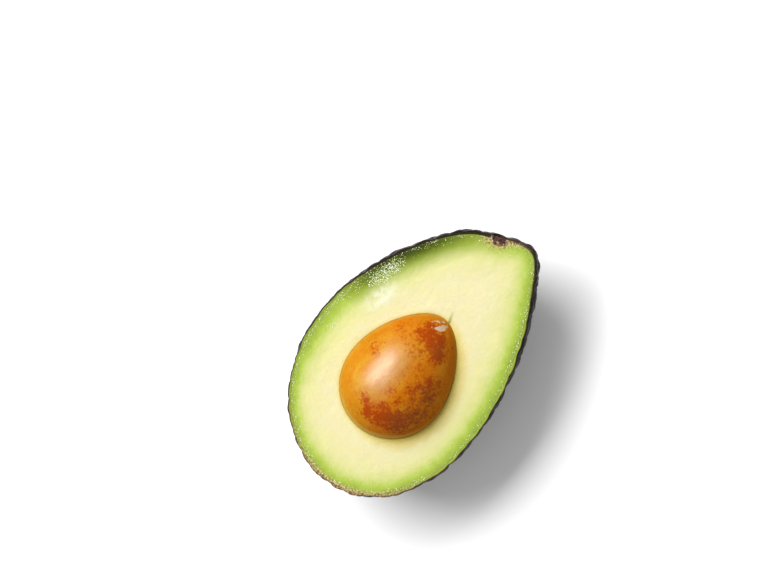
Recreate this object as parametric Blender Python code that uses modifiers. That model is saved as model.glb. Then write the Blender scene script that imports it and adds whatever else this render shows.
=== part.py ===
"""One half of an avocado, cut lengthwise, with the stone still in it, lying on its back.

Metres, +Z up. The cut face is level and looks up, the narrow stalk end points along +Y, and the
origin is on the surface that the fruit lies on, under the middle of its bounding box.
The skin is a thin leathery shell, the flesh fills it, the stone sits loose in its hollow, and the
corky scar of the broken stalk is let into the narrow end.
"""

import bmesh
import bpy
from mathutils import Matrix, Vector, noise
from math import cos, exp, pi, radians, sin, tan

# The whole fruit that was cut, along Y, across X and from front to back.
FRUIT_LENGTH = 0.102
FRUIT_WIDTH = 0.065
FRUIT_DEPTH = 0.0625
# How the half width changes from the middle towards the stalk end: at the middle, in step, and squared.
FRUIT_TAPER = (0.983, 0.207, 0.054)
# Both ends bend to the same side, and the stalk end leans further towards its tip.
END_BEND = 0.0028
STALK_END_LEAN = 0.0042
LEAN_POWER = 10

# The stone, in its own frame: its pointed end is along its +Y.
STONE_LENGTH = 0.0471
STONE_WIDTH = 0.0364
STONE_DEPTH = 0.0350
STONE_TAPER = (0.969, 0.198, 0.059)
# Its centre, measured from the fruit's middle and below the cut, and its turn in the cut face.
STONE_CENTRE = Vector((0.0010, -0.0071, -0.0040))
STONE_TURN = radians(0.7)

# The skin's thickness, and the clearance that every two pieces keep.
SKIN_THICKNESS = 0.0013
CLEARANCE = 0.0003

# The pebbled outside: domes side by side, on slow swells. The mean is the average height of a dome,
# so that the pebbles stand out as far as the furrows between them go in.
PEBBLE_SIZE = 0.0060
PEBBLE_HEIGHT = 0.0013
PEBBLE_REACH = 0.75
PEBBLE_MEAN = 0.40
SWELL_SIZE = 0.017
SWELL_HEIGHT = 0.0004

# How far the lowest swell of the back is pressed flat where the fruit lies.
FLAT_SPOT_RISE = 0.0012

# The scar of the stalk: where it is and which way it faces, as angles left of the stalk end.
SCAR_BEARING = radians(18.2)
SCAR_TILT = radians(22.0)
# The plug of cork that fills it, with its rounded edges and the dish in its outer end.
SCAR_RADIUS = 0.0029
SCAR_DEPTH = 0.0028
SCAR_NARROWING = 0.86
SCAR_ROUNDING = 0.0004
SCAR_DISH = 0.0006
DISH_SHOULDER = 0.6
# The pocket that the plug sits in, which opens outwards, and the dimple around it.
POCKET_RADIUS = 0.00326
POCKET_OPENING = 0.003
DIMPLE_DEPTH = 0.0012
DIMPLE_REACH = 0.0065

# How many faces lie along a quarter of each egg, and around the plug.
SKIN_FACES = 32
LINING_FACES = 14
STONE_FACES = 14
SOCKET_FACES = 12
SCAR_STEPS = 32

# Corners closer than this are one, and edges sharper than this stay sharp when shaded.
WELD_DISTANCE = 0.00001
CUT_TOLERANCE = 0.0000001
SHARP_ANGLE = radians(40)

SKIN_COLOUR = (0.028, 0.018, 0.016, 1.0)
SKIN_ROUGHNESS = 0.38
FLESH_COLOUR = (0.760, 0.740, 0.300, 1.0)
FLESH_ROUGHNESS = 0.45
STONE_COLOUR = (0.430, 0.150, 0.025, 1.0)
STONE_ROUGHNESS = 0.35
SCAR_COLOUR = (0.170, 0.060, 0.035, 1.0)
SCAR_ROUGHNESS = 0.75


def clear_scene():
    """Empties the scene that the script is run in."""
    for old in list(bpy.data.objects):
        bpy.data.objects.remove(old, do_unlink=True)


def new_collection(name):
    collection = bpy.data.collections.new(name)
    bpy.context.scene.collection.children.link(collection)
    return collection


def new_material(name, colour, roughness):
    material = bpy.data.materials.new(name)
    material.use_nodes = True
    shader = material.node_tree.nodes["Principled BSDF"]
    shader.inputs["Base Color"].default_value = colour
    shader.inputs["Roughness"].default_value = roughness
    shader.inputs["Metallic"].default_value = 0.0
    material.diffuse_color = colour
    return material


def taper_at(along, taper):
    """Share of the full half width at a place from -1, the blunt end, to 1, the pointed end."""
    middle, slope, curve = taper
    return middle - slope * along - curve * along * along


def left_of_stalk_end(angle):
    """Direction in the cut face, turned to the left of +Y."""
    return Vector((-sin(angle), cos(angle), 0.0))


def fruit_point(direction):
    """Place on the fruit's smooth outside for a direction from its middle."""
    share = taper_at(direction.y, FRUIT_TAPER)
    bend = END_BEND * direction.y**2
    lean = STALK_END_LEAN * max(0.0, direction.y) ** LEAN_POWER
    return Vector(
        (
            FRUIT_WIDTH / 2 * share * direction.x + bend + lean,
            FRUIT_LENGTH / 2 * direction.y,
            FRUIT_DEPTH / 2 * share * direction.z,
        )
    )


def dimpled_fruit_point(direction):
    """The same place, drawn in around the stalk's scar."""
    point = fruit_point(direction)
    distance = (point - fruit_point(left_of_stalk_end(SCAR_BEARING))).length
    drawn_in = DIMPLE_DEPTH * exp(-((distance / DIMPLE_REACH) ** 2))
    return point - left_of_stalk_end(SCAR_TILT) * drawn_in


def stone_point(direction):
    """Place on the stone's outside, in the stone's own frame."""
    share = taper_at(direction.y, STONE_TAPER)
    return Vector(
        (
            STONE_WIDTH / 2 * share * direction.x,
            STONE_LENGTH / 2 * direction.y,
            STONE_DEPTH / 2 * share * direction.z,
        )
    )


def relief(point):
    """Height of the pebbles and swells of the skin over its smooth outside."""
    nearest = noise.voronoi(point / PEBBLE_SIZE)[0][0]
    dome = 1.0 - min(1.0, nearest / PEBBLE_REACH) ** 2
    swell = noise.noise(point / SWELL_SIZE)
    return PEBBLE_HEIGHT * (dome - PEBBLE_MEAN) + SWELL_HEIGHT * swell


def egg(faces_along, point_on, grow=0.0, height_at=None):
    """A closed egg as a bmesh: a cube cut into a grid, blown up to a ball and drawn out.

    grow moves the surface along its normals, and height_at adds a relief to it.
    """
    shape = bmesh.new()
    bmesh.ops.create_cube(shape, size=2.0)
    bmesh.ops.subdivide_edges(
        shape, edges=shape.edges[:], cuts=faces_along - 1, use_grid_fill=True
    )
    for corner in shape.verts:
        even = Vector([tan(value * pi / 4) for value in corner.co])
        corner.co = point_on(even.normalized())
    shape.normal_update()
    moved = [
        corner.co + corner.normal * (grow + (height_at(corner.co) if height_at else 0.0))
        for corner in shape.verts
    ]
    for corner, place in zip(shape.verts, moved):
        corner.co = place
    return shape


def keep_below_cut(shape):
    """Cuts a closed bmesh at Z = 0, keeps its lower half and closes the cut with one flat face."""
    cut = bmesh.ops.bisect_plane(
        shape,
        geom=shape.verts[:] + shape.edges[:] + shape.faces[:],
        dist=CUT_TOLERANCE,
        plane_co=(0.0, 0.0, 0.0),
        plane_no=(0.0, 0.0, 1.0),
        clear_outer=True,
    )
    rim = [piece for piece in cut["geom_cut"] if isinstance(piece, bmesh.types.BMEdge)]
    for edge in rim:
        for corner in edge.verts:
            corner.co.z = 0.0
    bmesh.ops.contextual_create(shape, geom=rim)
    bmesh.ops.recalc_face_normals(shape, faces=shape.faces[:])


def press_flat(shape, height):
    """Presses everything under a height up to it, which gives the spot that the fruit lies on."""
    for corner in shape.verts:
        corner.co.z = max(corner.co.z, height)


def new_object(name, shape, collection, material=None):
    """Turns a bmesh into an object with its sharp edges at the cut."""
    mesh = bpy.data.meshes.new(name)
    shape.to_mesh(mesh)
    shape.free()
    mesh.shade_smooth()
    mesh.set_sharp_from_angle(angle=SHARP_ANGLE)
    made = bpy.data.objects.new(name, mesh)
    collection.objects.link(made)
    if material:
        mesh.materials.append(material)
    return made


def new_cutter(name, shape, collection):
    """An object that only cuts others, and isn't part of the fruit."""
    made = new_object(name, shape, collection)
    made.hide_render = True
    made.display_type = "WIRE"
    return made


def cut_from(body, cutter):
    modifier = body.modifiers.new("cut " + cutter.name, "BOOLEAN")
    modifier.operation = "DIFFERENCE"
    modifier.solver = "EXACT"
    modifier.object = cutter


def place_as_stone(made):
    made.location = STONE_CENTRE
    made.rotation_euler = (0.0, 0.0, STONE_TURN)


def turned_plug(name, radius, inner_end, outer_end, dish, collection):
    """A plug turned about Z with its outer end up, a little narrower inside and dished outside."""
    narrow = radius * SCAR_NARROWING
    profile = [
        (0.0, outer_end - dish),
        (radius * DISH_SHOULDER, outer_end - dish * (1.0 - DISH_SHOULDER**2)),
        (radius - SCAR_ROUNDING, outer_end),
        (radius, outer_end - SCAR_ROUNDING),
        (narrow, inner_end + SCAR_ROUNDING),
        (narrow - SCAR_ROUNDING, inner_end),
        (0.0, inner_end),
    ]
    mesh = bpy.data.meshes.new(name)
    corners = [(x, 0.0, z) for x, z in profile]
    mesh.from_pydata(corners, [(i, i + 1) for i in range(len(corners) - 1)], [])
    made = bpy.data.objects.new(name, mesh)
    collection.objects.link(made)
    turn = made.modifiers.new("turn", "SCREW")
    turn.axis = "Z"
    turn.angle = 2 * pi
    turn.steps = SCAR_STEPS
    turn.render_steps = SCAR_STEPS
    turn.use_merge_vertices = True
    turn.merge_threshold = WELD_DISTANCE
    return made


def set_in_narrow_end(turned):
    """The turned plug as a bmesh, moved to the scar's place on the fruit and turned to point out."""
    bpy.context.view_layer.update()
    graph = bpy.context.evaluated_depsgraph_get()
    mesh = bpy.data.meshes.new_from_object(turned.evaluated_get(graph))
    bpy.data.objects.remove(turned, do_unlink=True)
    shape = bmesh.new()
    shape.from_mesh(mesh)
    bpy.data.meshes.remove(mesh)
    bmesh.ops.remove_doubles(shape, verts=shape.verts[:], dist=WELD_DISTANCE)
    bmesh.ops.recalc_face_normals(shape, faces=shape.faces[:])
    end = dimpled_fruit_point(left_of_stalk_end(SCAR_BEARING))
    pointing_out = left_of_stalk_end(SCAR_TILT).to_track_quat("Z", "Y").to_matrix().to_4x4()
    bmesh.ops.transform(shape, matrix=Matrix.Translation(end) @ pointing_out, verts=shape.verts[:])
    return shape


def build():
    clear_scene()
    fruit = new_collection("avocado_half")
    cutters = new_collection("cutters")
    skin_finish = new_material("skin", SKIN_COLOUR, SKIN_ROUGHNESS)
    flesh_finish = new_material("flesh", FLESH_COLOUR, FLESH_ROUGHNESS)
    stone_finish = new_material("stone", STONE_COLOUR, STONE_ROUGHNESS)
    scar_finish = new_material("scar", SCAR_COLOUR, SCAR_ROUGHNESS)

    # The skin: half a pebbled egg, hollowed by a smooth one.
    skin_shape = egg(SKIN_FACES, dimpled_fruit_point, height_at=relief)
    keep_below_cut(skin_shape)
    floor = min(corner.co.z for corner in skin_shape.verts) + FLAT_SPOT_RISE
    press_flat(skin_shape, floor)
    low = Vector([min(corner.co[i] for corner in skin_shape.verts) for i in range(3)])
    high = Vector([max(corner.co[i] for corner in skin_shape.verts) for i in range(3)])
    skin = new_object("skin", skin_shape, fruit, skin_finish)
    hollow = new_cutter(
        "hollow", egg(LINING_FACES, dimpled_fruit_point, grow=-SKIN_THICKNESS), cutters
    )
    cut_from(skin, hollow)

    # The flesh: half a smooth egg inside the skin, with the stone's hollow in its face.
    flesh_shape = egg(LINING_FACES, dimpled_fruit_point, grow=-SKIN_THICKNESS - CLEARANCE)
    keep_below_cut(flesh_shape)
    flesh = new_object("flesh", flesh_shape, fruit, flesh_finish)
    socket = new_cutter("socket", egg(SOCKET_FACES, stone_point, grow=CLEARANCE), cutters)
    place_as_stone(socket)
    cut_from(flesh, socket)

    # The stone, whole, sunk a little past its middle in its hollow.
    stone = new_object("stone", egg(STONE_FACES, stone_point), fruit, stone_finish)
    place_as_stone(stone)

    # The scar of the stalk, a corky plug that the same cut has halved, in a pocket of its own.
    plug = turned_plug("plug", SCAR_RADIUS, -SCAR_DEPTH, 0.0, SCAR_DISH, cutters)
    scar_shape = set_in_narrow_end(plug)
    keep_below_cut(scar_shape)
    scar = new_object("stalk_scar", scar_shape, fruit, scar_finish)
    pocket_floor = -SCAR_DEPTH - CLEARANCE
    wide_plug = turned_plug("wide_plug", POCKET_RADIUS, pocket_floor, POCKET_OPENING, 0.0, cutters)
    pocket = new_cutter("pocket", set_in_narrow_end(wide_plug), cutters)
    cut_from(skin, pocket)
    cut_from(flesh, pocket)

    # One empty carries the fruit, and puts the middle of its underside at the origin.
    carrier = bpy.data.objects.new("avocado_half", None)
    fruit.objects.link(carrier)
    carrier.location = (-(low.x + high.x) / 2, -(low.y + high.y) / 2, -floor)
    for piece in (skin, flesh, stone, scar, hollow, socket, pocket):
        piece.parent = carrier


build()
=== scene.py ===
"""Half an avocado with its stone, lying on its rounded back on a white table under one soft lamp.

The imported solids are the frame. Every piece below is a finer make of one of them, in the same place:
the pebbled skin, the cut flesh, the stone in its coat, and the corky scar of the stalk.
"""

import math

import bmesh
import bpy
import numpy as np
from mathutils import Matrix, Vector, kdtree


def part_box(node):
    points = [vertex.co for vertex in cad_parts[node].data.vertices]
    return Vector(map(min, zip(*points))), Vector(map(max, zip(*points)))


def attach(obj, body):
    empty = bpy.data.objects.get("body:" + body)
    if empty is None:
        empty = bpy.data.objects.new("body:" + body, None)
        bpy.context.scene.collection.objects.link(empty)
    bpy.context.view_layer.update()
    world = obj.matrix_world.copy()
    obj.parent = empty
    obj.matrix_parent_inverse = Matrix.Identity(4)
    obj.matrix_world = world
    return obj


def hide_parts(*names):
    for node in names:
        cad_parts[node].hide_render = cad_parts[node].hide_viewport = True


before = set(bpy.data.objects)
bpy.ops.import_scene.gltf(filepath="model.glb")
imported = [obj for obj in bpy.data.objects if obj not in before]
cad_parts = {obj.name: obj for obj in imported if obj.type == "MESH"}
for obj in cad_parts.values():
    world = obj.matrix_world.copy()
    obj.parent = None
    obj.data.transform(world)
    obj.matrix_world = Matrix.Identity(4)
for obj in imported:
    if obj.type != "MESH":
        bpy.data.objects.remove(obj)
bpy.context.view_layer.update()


# The skin
# A leathery shell a little under a millimetre thick, nearly black when ripe and covered in low
# pebbles. It grew round the flesh, and the knife left its thin edge bare all round the cut.

FRUIT_LENGTH = 0.102
FRUIT_WIDTH = 0.065
FRUIT_DEPTH = 0.0625
FRUIT_TAPER = (0.983, 0.207, 0.054)
END_BEND = 0.0028
STALK_END_LEAN = 0.0042
LEAN_POWER = 10
SCAR_BEARING = math.radians(18.2)
SCAR_TILT = math.radians(22.0)
DIMPLE_DEPTH = 0.0012
DIMPLE_REACH = 0.0065
STONE_SHIFT = Vector((0.0010, -0.0071, -0.0040))

SCAR_RADIUS = 0.0029
SCAR_DEPTH = 0.0028
SCAR_SQUARENESS = 2.5
PIT_OVERLAP = 0.00010

SKIN_FACES = 160
SKIN_BULGE = 0.0007
BULGE_DEPTH = 0.006
SKIN_EDGE_DEPTHS = (0.00010, 0.00030, 0.00055, 0.00085)
SKIN_EDGE_LIFTS = (0.00002, 0.00002, 0.00001, 0.00000)
LINING_DIPS = tuple(math.radians(angle) for angle in (8, 20, 35, 50, 65, 80))
IN_THE_CUT = 1e-5
PEBBLE_REACH = 0.72

# Bearings in degrees round the cut face, from its right side by the stalk end, each with a reach.
# The dry edge also fades with the distance from the skin, over two reaches in millimetres.
STALK_BULGE = (62.0, 38.0)
DRY_BLUNT_END = (-78.0, 26.0)
DRY_BESIDE_SCAR = (88.0, 5.0)
DRY_REACHES = (0.9, 1.0)
# The wider dark along the upper left is partly the skin's own edge and partly painted shade.
WIDE_DARK_EDGE = (112.0, 52.0)
WIDE_DARK_SHARE = 3.2

SKIN_FURROW = (0.006, 0.004, 0.004)
SKIN_PEBBLE = (0.021, 0.012, 0.010)
SKIN_RED = (0.032, 0.011, 0.007)
SKIN_OLIVE = (0.034, 0.034, 0.008)
SKIN_PURPLE = (0.016, 0.011, 0.011)
SKIN_SPECK = (0.300, 0.150, 0.060)
SKIN_EDGE_COLOURS = (
    (0.00, (0.012, 0.008, 0.006)),
    (0.20, (0.034, 0.026, 0.010)),
    (0.36, (0.200, 0.235, 0.032)),
    (0.60, (0.225, 0.300, 0.034)),
    (0.90, (0.230, 0.315, 0.034)),
)
DRY_EDGE_BROWN = (0.105, 0.046, 0.022)
DRY_EDGE_TAN = (0.440, 0.285, 0.150)

stone_low, stone_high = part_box("stone")
middle = (stone_low + stone_high) / 2 - STONE_SHIFT
middle.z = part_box("flesh")[1].z
MIDDLE = np.array(middle)


def feed(tree, node, inputs):
    """Sets a node's inputs, by name or number, each from a value or from the socket to link."""
    for key, value in inputs.items():
        if isinstance(value, bpy.types.NodeSocket):
            tree.links.new(value, node.inputs[key])
        else:
            node.inputs[key].default_value = value
    return node


def put(tree, kind, inputs=None, **settings):
    """Adds a node with its inputs and settings."""
    node = tree.nodes.new(kind)
    for setting, value in settings.items():
        setattr(node, setting, value)
    return feed(tree, node, inputs or {})


def reckon(tree, operation, first, second):
    """One sum on numbers, as its result's socket."""
    return put(tree, "ShaderNodeMath", {0: first, 1: second}, operation=operation).outputs[0]


def times(tree, first, second):
    return reckon(tree, "MULTIPLY", first, second)


def swing(tree, share, height):
    """A share from 0 to 1 as a number that swings to both sides of nothing."""
    return times(tree, reckon(tree, "SUBTRACT", share, 0.5), height)


def carry_over(tree, value, begin, full, first=0.0, last=1.0, easing="LINEAR"):
    """A number carried from one range over to another, and held inside it, as its result's socket."""
    limits = {"Value": value, "From Min": begin, "From Max": full, "To Min": first, "To Max": last}
    return put(tree, "ShaderNodeMapRange", limits, interpolation_type=easing).outputs[0]


def pattern(tree, kind, place, size, inputs=None, **settings):
    """A noise or a set of cells of a given size, as its results' sockets."""
    scale = reckon(tree, "DIVIDE", 1.0, size)
    inputs = {"Vector": place, "Scale": scale, **(inputs or {})}
    return put(tree, kind, inputs, **settings).outputs


def reckon_way(tree, operation, first, second):
    """One sum on vectors, as its result's socket. To scale, the second one is a number."""
    key = "Scale" if operation == "SCALE" else 1
    return put(
        tree, "ShaderNodeVectorMath", {0: first, key: second}, operation=operation
    ).outputs[0]


def new_tree(name, kind, inputs, output):
    """An empty node group with one result. Each input has its usual number, or else its type."""
    tree = bpy.data.node_groups.new(name, kind)
    types = {float: "NodeSocketFloat", int: "NodeSocketInt"}
    for label, usual in inputs.items():
        socket_type = types.get(type(usual), usual)
        made = tree.interface.new_socket(label, in_out="INPUT", socket_type=socket_type)
        if socket_type != usual:
            made.default_value = usual
    label, socket_type = output
    tree.interface.new_socket(label, in_out="OUTPUT", socket_type=socket_type)
    return tree, tree.nodes.new("NodeGroupInput").outputs, tree.nodes.new("NodeGroupOutput").inputs


def shape_with(made, tree, sizes):
    """Runs a geometry tree on a piece with the given sizes, and keeps the result as its plain mesh."""
    modifier = made.modifiers.new(tree.name, "NODES")
    modifier.node_group = tree
    for item in tree.interface.items_tree:
        if item.in_out == "INPUT" and item.name in sizes:
            modifier[item.identifier] = sizes[item.name]
    graph = bpy.context.evaluated_depsgraph_get()
    mesh = bpy.data.meshes.new_from_object(
        made.evaluated_get(graph), preserve_all_data_layers=True, depsgraph=graph
    )
    made.modifiers.clear()
    plain = made.data
    made.data = mesh
    bpy.data.meshes.remove(plain)
    mesh.name = made.name
    return made


def mesh_of(shape, name):
    """A mesh from faces built by hand."""
    mesh = bpy.data.meshes.new(name)
    shape.to_mesh(mesh)
    shape.free()
    return mesh


def ball(name, faces_along, lower_half_only=False):
    """A unit ball as a mesh: a cube cut into a grid of even faces and blown up."""
    shape = bmesh.new()
    bmesh.ops.create_cube(shape, size=2.0)
    bmesh.ops.subdivide_edges(
        shape, edges=shape.edges[:], cuts=faces_along - 1, use_grid_fill=True
    )
    if lower_half_only:
        above = [corner for corner in shape.verts if corner.co.z > 0.1 / faces_along]
        bmesh.ops.delete(shape, geom=above, context="VERTS")
    mesh = mesh_of(shape, name)
    even = np.tan(places_of(mesh) * math.pi / 4)
    set_places(mesh, even / np.linalg.norm(even, axis=1)[:, None])
    return mesh


def places_of(mesh):
    places = np.empty(len(mesh.vertices) * 3, np.float32)
    mesh.vertices.foreach_get("co", places)
    return places.reshape(-1, 3).astype(float)


def set_places(mesh, places):
    mesh.vertices.foreach_set("co", places.astype(np.float32).ravel())
    mesh.update()


def normals_of(mesh):
    normals = np.empty(len(mesh.vertices) * 3, np.float32)
    mesh.vertex_normals.foreach_get("vector", normals)
    return normals.reshape(-1, 3).astype(float)


def write_on(mesh, name, values):
    """Stores a number or a direction at every corner of a mesh, for the nodes to read."""
    kind = "FLOAT" if values.ndim == 1 else "FLOAT_VECTOR"
    field = "value" if values.ndim == 1 else "vector"
    attribute = mesh.attributes.get(name) or mesh.attributes.new(name, kind, "POINT")
    attribute.data.foreach_set(field, values.astype(np.float32).ravel())


def read_from(mesh, name):
    values = np.empty(len(mesh.vertices), np.float32)
    mesh.attributes[name].data.foreach_get("value", values)
    return values.astype(float)


def taper_at(along, taper):
    """Share of the full half width at a place from -1, the blunt end, to 1, the pointed end."""
    at_middle, slope, curve = taper
    return at_middle - slope * along - curve * along**2


def undimpled(directions):
    """The fruit's outside before its narrow end is drawn in, from its own middle."""
    share = taper_at(directions[:, 1], FRUIT_TAPER)
    lean = STALK_END_LEAN * np.maximum(0.0, directions[:, 1]) ** LEAN_POWER
    across = FRUIT_WIDTH / 2 * share * directions[:, 0] + END_BEND * directions[:, 1] ** 2 + lean
    along = FRUIT_LENGTH / 2 * directions[:, 1]
    deep = FRUIT_DEPTH / 2 * share * directions[:, 2]
    return np.stack((across, along, deep), axis=1)


def left_of_stalk_end(angle):
    """Direction in the cut face, turned to the left of the stalk end."""
    return np.array([-math.sin(angle), math.cos(angle), 0.0])


def fruit_outside(directions):
    """Places on the fruit's smooth outside for directions from its middle, as in the solid."""
    places = undimpled(directions)
    scar = undimpled(left_of_stalk_end(SCAR_BEARING)[None])
    distance = np.linalg.norm(places - scar, axis=1)
    drawn_in = DIMPLE_DEPTH * np.exp(-((distance / DIMPLE_REACH) ** 2))
    return MIDDLE + places - left_of_stalk_end(SCAR_TILT) * drawn_in[:, None]


def open_scar_pit(places):
    """Lowers places that stand where the stalk's plug sits, so that it lies in a pit of its own."""
    end = fruit_outside(left_of_stalk_end(SCAR_BEARING)[None])[0]
    out = left_of_stalk_end(SCAR_TILT)
    away = places - end
    inward = np.clip(-(away @ out) / (SCAR_DEPTH - PIT_OVERLAP), 0.0, 1.0)
    radius = (SCAR_RADIUS - PIT_OVERLAP) * np.sqrt(1.0 - inward**SCAR_SQUARENESS)
    sideways = away @ np.array([out[1], -out[0], 0.0])
    under = -np.sqrt(np.maximum(0.0, radius**2 - sideways**2))
    lowered = places.copy()
    lowered[:, 2] = np.minimum(places[:, 2], np.where(under < 0.0, MIDDLE[2] + under, places[:, 2]))
    return lowered


def round_the_cut(angles, dip=0.0):
    """Directions at the given angles round the cut face, dipping under it."""
    flat = np.stack((np.cos(angles), np.sin(angles), np.zeros(len(angles))), axis=1)
    return flat * math.cos(dip) - np.array([0.0, 0.0, math.sin(dip)])


def cut_outline(angles):
    """The smooth edge of the cut face and the way out from it, in the cut's plane."""
    step = 0.001
    places = fruit_outside(round_the_cut(angles))
    along = fruit_outside(round_the_cut(angles + step)) - fruit_outside(round_the_cut(angles - step))
    outward = np.stack((along[:, 1], -along[:, 0], np.zeros(len(angles))), axis=1)
    return places, outward / np.linalg.norm(outward, axis=1)[:, None]


def new_piece(mesh, material=None):
    """Puts a smooth mesh into the scene as a piece of the same name."""
    mesh.shade_smooth()
    made = bpy.data.objects.new(mesh.name, mesh)
    bpy.context.scene.collection.objects.link(made)
    if material:
        mesh.materials.append(material)
    return made


def feed_named(tree, node, **values):
    """Sets a node's inputs by their names, with a low line for each space."""
    return feed(tree, node, {label.replace("_", " "): value for label, value in values.items()})


def new_material(name, **looks):
    """A material with its tree, its shader and its corners' places on the piece."""
    material = bpy.data.materials.new(name)
    material.use_nodes = True
    tree = material.node_tree
    shader = feed_named(tree, tree.nodes["Principled BSDF"], **looks)
    place = put(tree, "ShaderNodeTexCoord").outputs["Object"]
    return material, tree, shader, place


def blend(tree, share, first, second):
    """Colour between two colours, each a colour or a socket, as its result's socket."""
    both = [(*colour, 1.0) if isinstance(colour, tuple) else colour for colour in (first, second)]
    return put(
        tree, "ShaderNodeMix", {0: share, 6: both[0], 7: both[1]}, data_type="RGBA"
    ).outputs[2]


def lay_on(tree, colour, share, second, most=1.0):
    """One colour laid on another by a share from 0 to 1, and no more than the most of it."""
    if most < 1.0:
        share = times(tree, share, most)
    return blend(tree, share, colour, second)


def attribute(tree, name):
    """A number stored on the piece, as a socket."""
    return put(tree, "ShaderNodeAttribute", attribute_name=name).outputs["Fac"]


def ramp(tree, share, stops):
    """Colours along a number, given as pairs of a place from 0 to 1 and a colour."""
    node = put(tree, "ShaderNodeValToRGB", {"Fac": share})
    elements = node.color_ramp.elements
    while len(elements) < len(stops):
        elements.new(0.5)
    for element, (place, colour) in zip(elements, stops):
        element.position = place
        element.color = (*colour, 1.0)
    return node.outputs["Color"]


def make_mottle_group():
    """Soft patches: 0 between them, 1 inside, from a size, where they begin and where they are full."""
    tree, given, result = new_tree(
        "soft_patches",
        "ShaderNodeTree",
        {
            "Vector": "NodeSocketVector",
            "Size": 0.005,
            "Begin": 0.45,
            "Full": 0.60,
            "Fineness": 4.0,
            "Roughness": 0.55,
        },
        ("Mask", "NodeSocketFloat"),
    )
    finish = {"Detail": given["Fineness"], "Roughness": given["Roughness"]}
    noise = pattern(tree, "ShaderNodeTexNoise", given["Vector"], given["Size"], finish)[0]
    mask = carry_over(tree, noise, given["Begin"], given["Full"], easing="SMOOTHSTEP")
    tree.links.new(mask, result["Mask"])
    return tree


def make_speck_group():
    """Small round specks: 1 in a speck, from their spacing, radius and the share of places with one."""
    tree, given, result = new_tree(
        "small_specks",
        "ShaderNodeTree",
        {"Vector": "NodeSocketVector", "Spacing": 0.002, "Radius": 0.2, "Share": 0.5},
        ("Mask", "NodeSocketFloat"),
    )
    cells = pattern(tree, "ShaderNodeTexVoronoi", given["Vector"], given["Spacing"])
    radius = given["Radius"]
    full = times(tree, radius, 0.4)
    near = carry_over(tree, cells["Distance"], full, radius, 1.0, 0.0, easing="SMOOTHSTEP")
    draw = put(tree, "ShaderNodeSeparateColor", {"Color": cells["Color"]}).outputs[0]
    has_one = reckon(tree, "LESS_THAN", draw, given["Share"])
    tree.links.new(times(tree, near, has_one), result["Mask"])
    return tree


def make_grain_group():
    """Height of a fine grain for a bump: soft waves with small round cells on them."""
    sizes = {"Wave Size": 0.002, "Cell Size": 0.0006, "Cell Share": 0.5}
    tree, given, result = new_tree(
        "fine_grain",
        "ShaderNodeTree",
        {"Vector": "NodeSocketVector", **sizes},
        ("Height", "NodeSocketFloat"),
    )
    place = given["Vector"]
    waves = pattern(tree, "ShaderNodeTexNoise", place, given["Wave Size"], {"Detail": 3.0})[0]
    soft = {"Smoothness": 0.4}
    cells = pattern(
        tree, "ShaderNodeTexVoronoi", place, given["Cell Size"], soft, feature="SMOOTH_F1"
    )
    domes = reckon(tree, "SUBTRACT", 1.0, cells["Distance"])
    raised = times(tree, domes, given["Cell Share"])
    tree.links.new(reckon(tree, "ADD", waves, raised), result["Height"])
    return tree


soft_patches = make_mottle_group()
small_specks = make_speck_group()
fine_grain = make_grain_group()


def use(tree, which, **inputs):
    """Places a shared group in a material with its own values, and gives its one result."""
    node = put(tree, "ShaderNodeGroup", node_tree=which)
    return feed_named(tree, node, **inputs).outputs[0]


def patches_of(tree, place, size, begin, full, fineness=4.0):
    return use(
        tree, soft_patches, Vector=place, Size=size, Begin=begin, Full=full, Fineness=fineness
    )


def specks_of(tree, place, spacing, radius, share):
    return use(tree, small_specks, Vector=place, Spacing=spacing, Radius=radius, Share=share)


def give_grain(tree, shader, place, grain, strength, distance, kept=None):
    """A bump of waves and cells, by their sizes and the cells' share, kept to places if need be."""
    waves, cells, share = grain
    height = use(
        tree, fine_grain, Vector=place, Wave_Size=waves, Cell_Size=cells, Cell_Share=share
    )
    if kept is not None:
        height = times(tree, height, kept)
    bump = put(
        tree, "ShaderNodeBump", {"Height": height, "Strength": strength, "Distance": distance}
    )
    feed_named(tree, shader, Normal=bump.outputs[0])


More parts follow.
